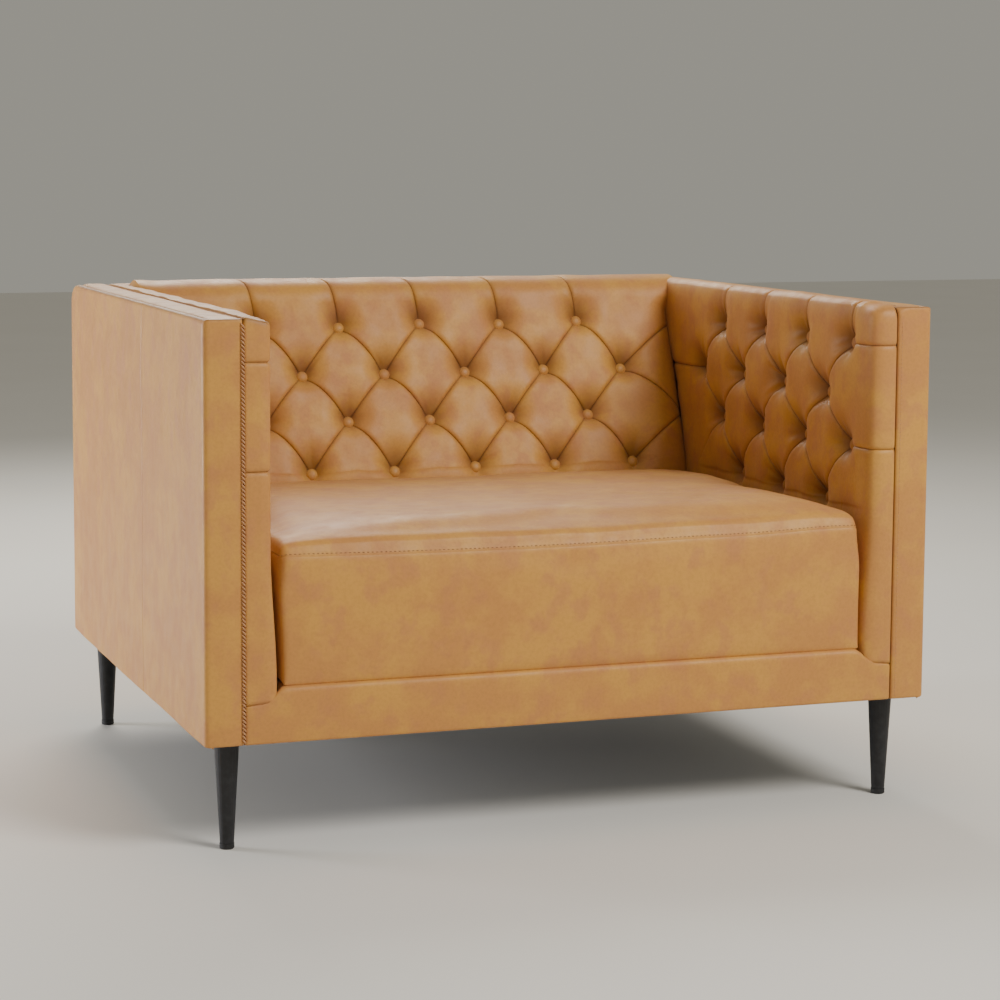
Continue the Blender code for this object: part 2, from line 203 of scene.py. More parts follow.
class Shell:
    """A closed leather shell gathered from grids of outer points, each with an inner copy behind it."""

    def __init__(self):
        self.points = []
        self.faces = []
        self.values = []

    def grid(self, outer, inner, crease, closed_edges=("low_u", "high_u", "low_v", "high_v")):
        n, m = outer.shape[:2]
        first = sum(len(p) for p in self.points)
        self.points += [outer.reshape(-1, 3), inner.reshape(-1, 3)]
        self.values += [crease.reshape(-1), np.zeros(n * m)]
        front = first + np.arange(n * m).reshape(n, m)
        back = front + n * m
        quads = np.stack([front[:-1, :-1], front[1:, :-1], front[1:, 1:], front[:-1, 1:]], axis=-1)
        for quad in quads.reshape(-1, 4).tolist():
            self.faces.append(quad)
            self.faces.append([corner + n * m for corner in reversed(quad)])
        rims = {"low_u": np.s_[0, :], "high_u": np.s_[-1, :], "low_v": np.s_[:, 0], "high_v": np.s_[:, -1]}
        for edge in closed_edges:
            top, under = front[rims[edge]].tolist(), back[rims[edge]].tolist()
            self.faces += [list(quad) for quad in zip(top, top[1:], under[1:], under)]

    def build(self, name, look, body="frame"):
        points = np.concatenate(self.points)
        return add_object(name, points, self.faces, look, body, np.concatenate(self.values), weld=2e-6)


def hide_panel(name, outer, crease, outward, *nodes, look=None, thick=HIDE, slot="tan_leather"):
    """A stretched panel of hide from one grid of outer points, which stands for the nodes named."""
    normals = grid_normals(outer)
    if normals[outer.shape[0] // 2, outer.shape[1] // 2] @ np.array(outward) < 0:
        normals = -normals
    shell = Shell()
    shell.grid(outer, outer - normals * thick, crease)
    made = shell.build(name, look or LEATHER)
    if nodes:
        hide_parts(*nodes)
    along = np.linalg.norm(np.diff(outer, axis=0), axis=-1).sum(axis=0).max()
    across = np.linalg.norm(np.diff(outer, axis=1), axis=-1).sum(axis=1).max()
    a, b, c, d = outer[:-1, :-1], outer[1:, :-1], outer[1:, 1:], outer[:-1, 1:]
    area = 0.5 * np.linalg.norm(np.cross(c - a, d - b), axis=-1).sum()
    area = float(min(area, along * across))


# Materials

def colour(*channels):
    """An sRGB colour, each channel 11 to 255, as linear RGBA."""
    return (*(((c / 255 + 0.055) / 1.055) ** 2.4 for c in channels), 1.0)


class Nodes:
    """A short way to write a node material."""

    def __init__(self, name):
        self.material = bpy.data.materials.new(name)
        self.material.use_nodes = True
        self.tree = self.material.node_tree
        self.tree.nodes.clear()
        self.output = self.tree.nodes.new("ShaderNodeOutputMaterial")
        self.shader = self.tree.nodes.new("ShaderNodeBsdfPrincipled")
        self.tree.links.new(self.shader.outputs[0], self.output.inputs[0])

    def add(self, kind, **settings):
        node = self.tree.nodes.new("ShaderNode" + kind)
        for key, value in settings.items():
            if key in node.inputs:
                self.give(node.inputs[key], value)
            else:
                setattr(node, key, value)
        return node

    def give(self, socket, value):
        if isinstance(value, bpy.types.NodeSocket):
            self.tree.links.new(value, socket)
        else:
            socket.default_value = colour(*value) if socket.type == "RGBA" else value

    def place(self, scale=(1, 1, 1)):
        return self.add("Mapping", Vector=self.add("TexCoord").outputs["Object"], Scale=scale).outputs[0]

    def noise(self, where, scale, detail=3.0, roughness=0.55):
        return self.add("TexNoise", Vector=where, Scale=scale, Detail=detail, Roughness=roughness).outputs[0]

    def ramp(self, factor, low, high, low_value=0.0, high_value=1.0):
        node = self.add("MapRange", interpolation_type="SMOOTHSTEP")
        for socket, value in zip(node.inputs, (factor, low, high, low_value, high_value)):
            self.give(socket, value)
        return node.outputs[0]

    def mix(self, factor, first, second):
        node = self.add("Mix", data_type="RGBA")
        for number, value in ((0, factor), (6, first), (7, second)):
            self.give(node.inputs[number], value)
        return node.outputs[2]

    def product(self, first, second):
        node = self.add("Math", operation="MULTIPLY")
        self.give(node.inputs[0], first)
        self.give(node.inputs[1], second)
        return node.outputs[0]

    def bump(self, height, strength, distance, normal=None):
        node = self.add("Bump", Height=height, Strength=strength, Distance=distance)
        if normal is not None:
            self.give(node.inputs["Normal"], normal)
        return node.outputs[0]

    def set(self, **values):
        for key, value in values.items():
            self.give(self.shader.inputs[key.replace("_", " ")], value)
        return self.material


def leather():
    nodes = Nodes("tan_leather")
    where = nodes.place()
    clouds = nodes.noise(where, 13.0, 4.0, 0.6)
    patches = nodes.noise(nodes.place((1.0, 1.3, 0.8)), 31.0, 3.0, 0.55)
    flecks = nodes.noise(where, 210.0, 2.0, 0.6)
    base = nodes.mix(nodes.ramp(clouds, 0.40, 0.62), TAN, STRAW)
    base = nodes.mix(nodes.ramp(patches, 0.50, 0.68, 0.0, 0.55), base, ROSE)
    base = nodes.mix(nodes.ramp(flecks, 0.35, 0.75, 0.0, 0.10), base, DEEP)
    # Painted shade: the crease attribute darkens the hide towards DEEP in the creases, over the hollows above
    # the buttons, in the inner corners and under the button rims. It also darkens the seam lines.
    crease = nodes.add("Attribute", attribute_name="crease").outputs["Fac"]
    base = nodes.mix(nodes.product(crease, 0.8), base, DEEP)
    grain = nodes.add("TexVoronoi", Vector=where, Scale=620.0, feature="DISTANCE_TO_EDGE")
    pebble = nodes.ramp(grain.outputs["Distance"], 0.0, 0.28)
    fine = nodes.bump(pebble, 0.16, 0.0004)
    soft = nodes.bump(nodes.noise(where, 75.0, 4.0, 0.6), 0.16, 0.0016, fine)
    roughness = nodes.ramp(patches, 0.3, 0.7, 0.41, 0.53)
    nodes.set(Specular_IOR_Level=0.33, Sheen_Weight=0.06, Sheen_Roughness=0.5)
    return nodes.set(Base_Color=base, Roughness=roughness, Normal=soft)


def woven(name, light, dark, pitch):
    nodes = Nodes(name)
    where = nodes.place()
    warp = nodes.add("TexWave", Vector=where, Scale=pitch, bands_direction="X")
    weft = nodes.add("TexWave", Vector=where, Scale=pitch, bands_direction="Y")
    weave = nodes.product(warp.outputs["Fac"], weft.outputs["Fac"])
    slubs = nodes.noise(nodes.place((1.0, 0.15, 1.0)), 420.0, 2.0)
    base = nodes.mix(nodes.ramp(weave, 0.0, 0.8), dark, light)
    base = nodes.mix(nodes.ramp(slubs, 0.45, 0.7, 0.0, 0.35), base, dark)
    return nodes.set(
        Base_Color=base, Roughness=0.95, Normal=nodes.bump(weave, 0.5, 0.0005), Sheen_Weight=0.2
    )


def wood(name):
    nodes = Nodes(name)
    where = nodes.place((9.0, 1.0, 9.0))
    grain = nodes.noise(where, 16.0, 6.0, 0.65)
    pores = nodes.noise(nodes.place((60.0, 2.5, 60.0)), 12.0, 3.0)
    base = nodes.mix(nodes.ramp(grain, 0.35, 0.7), (206, 170, 120), (163, 119, 72))
    base = nodes.mix(nodes.ramp(pores, 0.55, 0.75, 0.0, 0.5), base, (120, 84, 50))
    return nodes.set(Base_Color=base, Roughness=0.72, Normal=nodes.bump(pores, 0.35, 0.0006))


def metal(name, light, dark, rough, metallic=1.0, scale=160.0, strength=0.12):
    nodes = Nodes(name)
    where = nodes.place()
    mottle = nodes.noise(where, scale, 4.0)
    texture = nodes.noise(where, scale * 9, 2.0)
    base = nodes.mix(nodes.ramp(mottle, 0.35, 0.7), dark, light)
    roughness = nodes.ramp(mottle, 0.3, 0.7, rough - 0.06, rough + 0.08)
    normal = nodes.bump(texture, strength, 0.0003)
    return nodes.set(Base_Color=base, Roughness=roughness, Normal=normal, Metallic=metallic)


def foam_look(name):
    nodes = Nodes(name)
    cells = nodes.add("TexVoronoi", Vector=nodes.place(), Scale=700.0)
    shade = nodes.ramp(cells.outputs["Distance"], 0.0, 0.7)
    base = nodes.mix(shade, (246, 236, 196), (214, 196, 142))
    return nodes.set(Base_Color=base, Roughness=0.95, Normal=nodes.bump(shade, 0.5, 0.0008))


TAN = (196, 137, 72)
ROSE = (190, 127, 80)
STRAW = (206, 150, 71)
DEEP = (80, 40, 14)
LEATHER = leather()
THREAD = metal("thread", (206, 154, 112), (182, 132, 88), 0.7, 0.0, 900.0, 0.3)
DARK_THREAD = metal("dark_thread", (150, 104, 62), (104, 66, 34), 0.7, 0.0, 900.0, 0.3)
CAD_LOOKS = {
    name: make(name, *values)
    for make, name, *values in (
        (wood, "timber"),
        (foam_look, "foam"),
        (woven, "deck_cloth", (176, 154, 122), (128, 106, 78), 420.0),
        (woven, "cambric", (46, 46, 47), (24, 24, 25), 700.0),
        (woven, "webbing", (150, 128, 94), (96, 76, 50), 260.0),
        (metal, "spring_steel", (150, 150, 152), (92, 92, 96), 0.38),
        (metal, "black_metal", (44, 44, 46), (30, 30, 32), 0.5, 0.25, 90.0, 0.10),
        (metal, "black_nylon", (34, 34, 35), (24, 24, 25), 0.55, 0.0, 200.0, 0.08),
        (metal, "zinc_plate", (186, 188, 192), (140, 142, 148), 0.32),
    )
}


# Tufted panels

class Tufted:
    """A tufted field. Columns are upright lines through the buttons, joined by four crease curves."""

    def __init__(self, columns, foot, pleats, lean, seed, rows, rise, deep_side, folds, dark):
        self.columns = columns
        self.foot = foot
        self.pleats = pleats
        self.lean = lean
        self.seed = seed
        self.first_row = rows[0]
        self.rise = rise
        self.deep_side = deep_side
        self.folds = folds
        # dark: how strong the painted shade over the hollow above each button is.
        self.dark = dark
        self.buttons = [(c["u"], v) for c in columns for v in c.get("buttons", ())]

    def rows(self, count, top_steps, counts):
        """(u, v, crease depth from 0 to 1) over the grid, whose lines crowd towards columns and creases."""
        rows_u, rows_v, rows_d = [], [], []
        for number, (a, b) in enumerate(zip(self.columns, self.columns[1:])):
            width = b["u"] - a["u"]
            for f in cosine_steps(count)[1 if number else 0:]:
                u = a["u"] + width * f
                curves, slopes, powers = [], [], []
                for low, high, bow, power in zip(a["v"], b["v"], a["bow"], a["power"]):
                    curves.append(low + (high - low) * f + 4 * bow * f * (1 - f))
                    slopes.append(((high - low) + 4 * bow * (1 - 2 * f)) / width)
                    powers.append(power[0] + (power[1] - power[0]) * f)
                levels, start = [top_steps], PAD_TOP
                for stop, steps in zip([*curves, self.foot(u)], counts):
                    levels.append(start + (stop - start) * cosine_steps(steps)[1:])
                    start = stop
                v = np.concatenate(levels)
                depth = np.zeros_like(v)
                for curve, slope, power in zip(curves, slopes, powers):
                    gap = np.abs(v - curve) / math.sqrt(1 + slope * slope)
                    depth = np.maximum(depth, power * cusp(gap, CREASE_REACH))
                rows_u.append(np.full_like(v, u))
                rows_v.append(v)
                rows_d.append(depth)
        return np.array(rows_u), np.array(rows_v), np.array(rows_d)

    def height(self, u, v, creases):
        """(height over the button plane, crease value) of the field. The crease value is painted shade in the
        creases and over the hollow above each button.
        """
        fullness = np.ones_like(u)
        tucks = np.zeros_like(u)
        shade = np.zeros_like(u)
        for number, (bu, bv) in enumerate(self.buttons):
            draw = np.random.default_rng(self.seed + number)
            du, dv = u - bu, v - bv
            r = np.hypot(du, dv)
            angle = np.arctan2(dv, du)
            deep = 0.5 + 0.5 * np.cos(angle - self.deep_side)
            reach = 0.040 + 0.024 * deep
            t = np.clip(1 - (r - 0.006) / (reach - 0.006), 0.0, 1.0)
            fullness *= 1 - t ** (2.7 - 0.9 * deep)
            for _ in range(draw.integers(4, 8)):
                centre = self.deep_side + draw.uniform(-1.7, 1.7)
                across = r * np.sin(angle - centre)
                ahead = np.cos(angle - centre) > 0
                long = draw.uniform(0.012, 0.022)
                wide = draw.uniform(0.0028, 0.0048)
                ridge = bell(across, wide) - 0.55 * bell(np.abs(across) - 2 * wide, wide * 1.2)
                strength = self.folds * draw.uniform(0.3, 1.0)
                tucks -= strength * ridge * bell(r - 0.012 - long * 0.6, long) * ahead
            # Painted shade: a dark plume over the hollow above each button, where the pillow turns down away
            # from the light.
            spread = 0.008 + self.dark * 0.024 * deep**2
            shade = np.maximum(shade, bell(np.maximum(r - 0.008, 0.0), spread) * (0.3 + 0.7 * deep))
        pleat = np.zeros_like(u)
        for pu, pv in self.pleats:
            above = smooth((v - pv + 0.004) / 0.02) * fade((v - PAD_TOP) / 0.035)
            pleat = np.maximum(pleat, cusp(u - pu, CREASE_REACH) * above)
        grooves = np.maximum(creases, pleat * 0.9)
        sunk = 5.0 * MM * grooves * (0.3 + 0.7 * fullness)
        height = self.rise * fullness - sunk + tucks * smooth(fullness * 3)
        # Painted shade, deepest in the grooves, plus the painted plume above the buttons.
        return height, np.clip(0.66 * grooves**1.5 + self.dark * shade, 0.0, 1.0)

    def warp(self, u, v):
        """Pleats lean over as they near the top, while the field's two ends stay upright."""
        free = smooth((u - self.columns[0]["u"]) / 0.06) * smooth((self.columns[-1]["u"] - u) / 0.06)
        rise = np.clip((v - self.first_row) / (PAD_TOP - self.first_row), 0.0, 1.6)
        return u + self.lean * free * rise**1.6


BOW = 0.0058


def loose_rows(rows, places, seed):
    """Each column's button heights, none quite level with the next."""
    draw = np.random.default_rng(seed)
    return {k: [row + draw.normal(0.0, 0.0011) for row in rows] for k in places}


def back_field():
    full = [(1, 1)] * 3 + [(0.12, 0.12)]
    bow = [BOW, BOW, BOW, -0.002]
    rows = loose_rows(BACK_ROWS, range(-5, 6), 17)
    edge = [BACK_ROWS[0] - 0.002, BACK_ROWS[2], BACK_ROWS[2], BACK_ROWS[3]]
    columns = [{"u": -BACK_EDGE_X, "v": edge, "bow": bow, "power": full}]
    for k in range(-5, 6):
        v1, v2, v3, v4 = (row + 0.005 * k * BACK_PITCH / 2 for row in rows[k])
        column = {"u": k * BACK_PITCH / 2, "bow": bow, "power": full}
        if k % 2:
            column.update(v=[v2, v2, v4, v4], buttons=(v2, v4))
        else:
            column.update(v=[v1, v3, v3, BACK_ROWS[3]], buttons=(v1, v3))
        columns.append(column)
    columns.append({"u": BACK_EDGE_X, "v": edge, "bow": bow, "power": full})
    pleats = [(k * BACK_PITCH, rows[2 * k][0]) for k in range(-2, 3)]
    side = math.radians(92)
    return Tufted(columns, lambda u: 0.2485, pleats, -0.011, 100, BACK_ROWS, BACK_TUFT, side, 1.2 * MM, 0.80)


def back_profile(v):
    """(y, z) of the back's button surface at a height, going back along the top beyond the upper edge."""
    raked = BACK_TOP_Y - RAKE * (TOP - np.clip(v, BACK_BEND_Z, PAD_TOP))
    return np.stack([raked + np.maximum(v - PAD_TOP, 0.0), np.minimum(v, PAD_TOP)], axis=-1)


def back_surface(u, v, height):
    """Points over the back's button surface, whose sides roll back towards the arms."""
    offsets = np.linspace(-0.011, 0.011, 13)
    section, ahead = (sum(back_profile(v + start + step) for step in offsets) / 13 for start in (0.0, 0.002))
    along = unit(ahead - section)
    normal_y, normal_z = -along[..., 1], along[..., 0]
    on_top = smooth((v - 0.715) / 0.05)
    roll_width = 0.062 + (0.012 - 0.062) * on_top
    roll_depth = 0.050 + (0.010 - 0.050) * on_top
    edge_x = BACK_EDGE_X + 0.010 * on_top
    inside = np.clip((edge_x - np.abs(u)) / roll_width, 0.0, 1.0)
    out = height - roll_depth * dome(1 - inside)
    beyond = np.maximum(np.abs(u) - 0.44, 0.0)
    x = u + np.sign(u) * beyond * (edge_x - BACK_EDGE_X) / (BACK_EDGE_X - 0.44)
    return points_at(x, section[..., 0] + normal_y * out, section[..., 1] + normal_z * out)


def seam_curl(distance):
    """How far leather turns down beside a seam."""
    return CURL * cusp(np.maximum(distance, 0.0), CURL)


BUTTONS = []


def add_buttons(field, place):
    """Keeps each button's centre and outward direction for the button pieces."""
    for bu, bv in field.buttons:
        u, v = np.array([bu]), np.array([bv])
        low = place(u, v, np.array([0.0]))[0]
        high = place(u, v, np.array([0.01]))[0]
        BUTTONS.append((low, unit(high - low)))


def make_back():
    field = back_field()
    length = BACK_SEAM_Y - (BACK_TOP_Y - RAKE * (TOP - PAD_TOP))
    top_steps = PAD_TOP + edge_steps(0.0, length, np.linspace(0.013, length - 0.013, 13))[::-1]
    u, v, creases = field.rows(22, top_steps, FIELD_LEVELS)
    height, crease = field.height(u, v, creases)
    height += 0.010 * bell(v - PAD_TOP - 0.030, 0.032) - seam_curl(PAD_TOP + length - v)
    height -= 0.003 * smooth((v - PAD_TOP - 0.05) / 0.06)
    height += 0.0009 * waves(points_at(u, 0.0, v), 0.10, 7) * smooth(height / 0.012)
    # Painted shade along the back's sides, in the corners where it meets the arms.
    crease = np.maximum(crease, 0.7 * cusp(BACK_EDGE_X - np.abs(u), 0.016) * (v < 0.75))
    warped = field.warp(u, v)
    shell = Shell()
    shell.grid(back_surface(warped, v, height), back_surface(warped, v, BACK_LINING), crease)
    made = shell.build("back_pad_leather", LEATHER)
    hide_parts("inside_back_pad")
    add_buttons(field, lambda a, b, h: back_surface(field.warp(a, b), b, h))


def arm_field(seed):
    """The arm's field: u runs from the front edge of the inner face to the back corner."""
    full = [(1, 1)] * 3 + [(0.15, 0.15)]
    flat = [0.0] * 4
    bows = [BOW, BOW, BOW, -0.002]
    rows = loose_rows(ARM_ROWS, range(8), seed)
    front = [rows[7][0] + 0.002, rows[7][2] + 0.002, rows[7][2] + 0.002, ARM_ROWS[3]]
    columns = [{"u": ARM_BUTTON_FRONT, "v": front, "bow": flat, "power": [(0.8, 1)] * 3 + [(0, 0.3)]}]
    for k in range(7, -1, -1):
        v1, v2, v3, v4 = rows[k]
        column = {"u": ARM_FIRST - k * ARM_PITCH / 2, "bow": bows if k else flat, "power": full}
        if k % 2:
            column.update(v=[v1, v3, v3, ARM_ROWS[3]], buttons=(v1, v3))
        else:
            column.update(v=[v2, v2, v4, v4], buttons=(v2, v4) if k else (v2,))
        if k == 1:
            column["power"] = [(1, 1), (1, 1), (1, 0), (0.3, 0)]
        if k == 0:
            column["power"] = [(1, 1), (1, 1), (0, 0), (0, 0)]
        columns.append(column)
    back = [rows[0][1], rows[0][1], rows[0][3], rows[0][3]]
    columns.append({"u": 0.372, "v": back, "bow": flat, "power": full})
    pleats = [(ARM_FIRST - k * ARM_PITCH / 2, rows[k][0]) for k in (1, 3, 5, 7)]
    side = math.radians(50)
    return Tufted(columns, arm_foot, pleats, -0.016, seed * 100, ARM_ROWS, ARM_TUFT, side, 2.2 * MM, 0.9)


def arm_foot(u):
    """The bottom of an arm's inner face, which drops behind the front rail's mitre."""
    return PAD_FOOT - 0.0205 * fade((u - ARM_BUTTON_FRONT) / 0.022)


def corner_line(v):
    """Where the back pad meets the arm pad, as Y at a height."""
    heights = (0.243, 0.45, 0.55, 0.63, 0.66, 0.70, 0.72, 0.77)
    return np.interp(v, heights, (0.215, 0.218, 0.239, 0.274, 0.2935, 0.318, 0.335, 0.36))


ARM_ROUND = 0.012
# Where the two arms differ
FRONT_SQUARE = {"left": 9, "right": 3.2}
TOP_BULGE = {"left": 0.0, "right": 0.006}
TOP_EVEN = {"left": 0.85, "right": 0.0}
TOP_SHALLOW = {"left": 0.88, "right": 0.6}
EDGE_LINE = {"left": 0.6, "right": 0.15}
CORNER_DROP = {"left": 0.006, "right": 0.001}
FRONT_SEAM_DARK = {"left": 0.25, "right": 0.85}
TOP_SEAM_DARK = {"left": 0.1, "right": 0.4}
FRONT_EDGE = {"left": 0.004, "right": 0.014}


def arm_surface(x, y, z, height, square):
    """Points over the arm's button box: x is the distance outwards, square how sharp the front corner is."""
    low = np.array([ARM_BUTTON_X + ARM_ROUND, ARM_BUTTON_FRONT + ARM_ROUND, -1.0])
    high = np.array([2.0, 2.0, PAD_TOP - ARM_ROUND])
    sharp = points_at(x, y, z)
    core = np.clip(sharp, low, high)
    away = sharp - core
    power = 3 + (square - 3) * fade((y - ARM_BUTTON_FRONT) / 0.05)[..., None]
    length = (np.abs(away) ** power).sum(axis=-1, keepdims=True) ** (1 / power)
    return core + away / np.maximum(length, 1e-9) * np.expand_dims(ARM_ROUND + height, -1)


FRONT_LENGTH = SEAM_X - ARM_BUTTON_X
RIM = np.array([*EDGE, 0.013, 0.017, 0.021, FRONT_LENGTH])


def top_seam_depth(y, name):
    """Share of the full seam depth along the arm's top: full at the front corner, shallow behind it."""
    return 1 - TOP_SHALLOW[name] * smooth((y - FRONT) / 0.05)


def make_arm(name, side):
    field = arm_field(3 + side)
    u, v, creases = field.rows(22, PAD_TOP + FRONT_LENGTH - RIM, FIELD_LEVELS)
    height, crease = field.height(u, v, creases)
    from_seam = PAD_TOP + FRONT_LENGTH - v
    inside = smooth((u - ARM_BUTTON_FRONT) / 0.05)
    even = TOP_EVEN[name] * inside * smooth((v - PAD_TOP + 0.018) / 0.018)
    height += (ARM_TUFT - height) * even
    height -= seam_curl(from_seam) * top_seam_depth(u, name)
    height += TOP_BULGE[name] * bell(v - PAD_TOP - 0.006, 0.010) * inside
    crease = np.maximum(crease * (1 - even), TOP_SEAM_DARK[name] * cusp(np.maximum(from_seam, 0), 0.004))
    crease = np.maximum(crease, EDGE_LINE[name] * bell(u - ARM_BUTTON_FRONT, 0.0022) * (v > PAD_TOP - 1e-6))
    near = corner_line(v) - u
    height -= 0.24 * roll(np.maximum(near, 0.0), 0.045) * fade((v - 0.735) / 0.03)
    # Painted shade in the corner where the arm pad meets the back pad.
    crease = np.maximum(crease, 0.8 * bell(near, 0.012) * (v < 0.74))
    ripple = waves(points_at(u, 0.3 * side, v), 0.09, 11 + side)
    height += 0.0010 * ripple * smooth(height / 0.012) * inside
    warped = u + (field.warp(u, v) - u) * inside
    warped += smooth((u - 0.30) / 0.072) * (BACK_SEAM_Y - 0.372) * smooth((v - 0.70) / 0.05)
    warped = np.minimum(warped, BACK_SEAM_Y)
    x = np.where(v > PAD_TOP, SEAM_X - from_seam, ARM_BUTTON_X)
    z = np.minimum(v, PAD_TOP)

    def place(x_out, y, z_up, h):
        points = arm_surface(x_out, y, z_up, h, FRONT_SQUARE[name])
        flare = (0.0085 * smooth((0.44 - z_up) / 0.19) - 0.0035) * fade((y - ARM_BUTTON_FRONT) / 0.10)
        points[..., 0] -= flare * smooth((SEAM_X - points[..., 0]) / 0.03)
        near_front = fade((y - ARM_BUTTON_FRONT) / 0.07)
        from_seam_x = smooth((SEAM_X - points[..., 0]) / 0.035)
        points[..., 2] -= CORNER_DROP[name] * near_front * from_seam_x * smooth((z_up - 0.70) / 0.05)
        points[..., 0] *= side
        return points

    shell = Shell()
    lining = place(x, warped, z, PAD_LINING)
    shell.grid(place(x, warped, z, height), lining, crease, ("high_u", "low_v", "high_v"))

    # The front strip, from the seam to the pad's front edge
    a, column, grooves = np.broadcast_arrays(RIM[:, None], v[0, len(RIM) - 1:], creases[0, len(RIM) - 1:])
    foot_drop = smooth((0.28 - column) / (0.28 - column[0, -1])) * (1 - a / FRONT_LENGTH)
    z = column - 0.0035 * foot_drop
    height, crease = field.height(np.full_like(a, ARM_BUTTON_FRONT), column, grooves)
    height -= seam_curl(a)
    crease = np.maximum(crease, FRONT_SEAM_DARK[name] * cusp(a, 0.004))
    crease = np.maximum(crease, EDGE_LINE[name] * bell(PAD_TOP - column, 0.0022))
    lining = place(SEAM_X - a, ARM_BUTTON_FRONT, z, PAD_LINING)
    shell.grid(place(SEAM_X - a, ARM_BUTTON_FRONT, z, height), lining, crease, ("low_u", "high_v"))
    made = shell.build(f"arm_pad_leather_{name}", LEATHER)
    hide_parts(f"inside_arm_pad_{name}")
    add_buttons(field, lambda a, b, h: place(ARM_BUTTON_X, field.warp(a, b), b, h))


BUTTON_TURNS = 28
BUTTON_SCALE, BUTTON_LIFT = 1.12, 1.0
BUTTON_PROFILE = (  # Radius and height from the cap's middle to the foot, in millimetres
    (0.0, 5.6), (2.2, 5.45), (4.4, 4.95), (6.4, 4.0), (8.2, 2.5),
    (9.3, 0.9), (9.6, -0.4), (9.0, -1.5), (6.0, -2.2), (0.0, -2.4),
)


def make_buttons():
    """Leather-covered buttons: a domed cap, a rolled rim and a short neck, all in one closed form each."""
    for number, (centre, direction) in enumerate(BUTTONS):
        turn = Vector(direction).to_track_quat("Z", "X").to_matrix()
        points, faces, values, rings = [], [], [], []
        for radius, height in BUTTON_PROFILE:
            count = BUTTON_TURNS if radius else 1
            rings.append([len(points) + step for step in range(count)])
            for step in range(count):
                angle = 2 * math.pi * step / BUTTON_TURNS
                pucker = 1 + 0.012 * math.cos(9 * angle + number) * (radius > 6)
                reach = BUTTON_SCALE * radius * pucker
                local = Vector((reach * math.cos(angle), reach * math.sin(angle), height + BUTTON_LIFT))
                points.append(Vector(centre) + turn @ (local * MM))
                # Painted shade: the neck and the underside of the rim much darker, and the cap a little
                # darker.
                values.append(0.65 if height < 1.5 else 0.20)
        for upper, lower in zip(rings, rings[1:]):
            for a, b in zip(range(BUTTON_TURNS), [*range(1, BUTTON_TURNS), 0]):
                quad = [ring[k % len(ring)] for ring, k in ((upper, a), (lower, a), (lower, b), (upper, b))]
                faces.append(list(dict.fromkeys(quad)))
        add_object(f"button_{number + 1:02d}", points, faces, LEATHER, "frame", values)


# Outside leather

def outline_distance(y, z):
    """Distance from a point of the side face to the chair's outline, with its rounded rear corner."""
    past_y, past_z = y - (REAR - REAR_R), z - (TOP - REAR_R)
    corner = REAR_R - np.hypot(np.maximum(past_y, 0), np.maximum(past_z, 0))
    straight = np.minimum(TOP - z, REAR - y)
    return np.minimum(y - FRONT, np.where((past_y > 0) & (past_z > 0), corner, straight))


def top_of(y):
    """Height of the outline over a Y."""
    past = np.clip((y - (REAR - REAR_R)) / REAR_R, 0.0, 1.0)
    return TOP - REAR_R * dome(past)


def over_the_rear(straight, count):
    """(y, z, turn) of a path that runs back along the top and over the rear edge."""
    arc = np.linspace(0, math.pi / 2, count)
    turn = np.concatenate([np.zeros(len(straight)), arc])
    y = np.concatenate([straight, REAR - REAR_R + REAR_R * np.sin(arc)])
    return y, TOP - REAR_R * (1 - np.cos(turn)), turn


def side_seam_inset(y):
    return 0.0018 + 0.0024 * smooth((y - FRONT) / 0.09)


def side_edge_radius(y):
    """Rounding of the side's edge: crisp along the arm's top, softer at the front and at the rear corner."""
    crisp = smooth((y - FRONT) / 0.03) * fade((y - (REAR - 0.12)) / 0.06)
    return OUT_R + (TOP_R - OUT_R) * crisp


def front_edge_radius(x_out, name):
    """Rounding of an arm's top front edge, softer beside the pad's seam."""
    return 0.004 + (FRONT_EDGE[name] - 0.004) * fade((x_out - SEAM_X) / 0.016)


FINE = np.array([0.0, 0.0006, 0.0014, 0.0025, 0.004, 0.006, 0.0085, 0.012])
SIDE_JOIN = -0.09


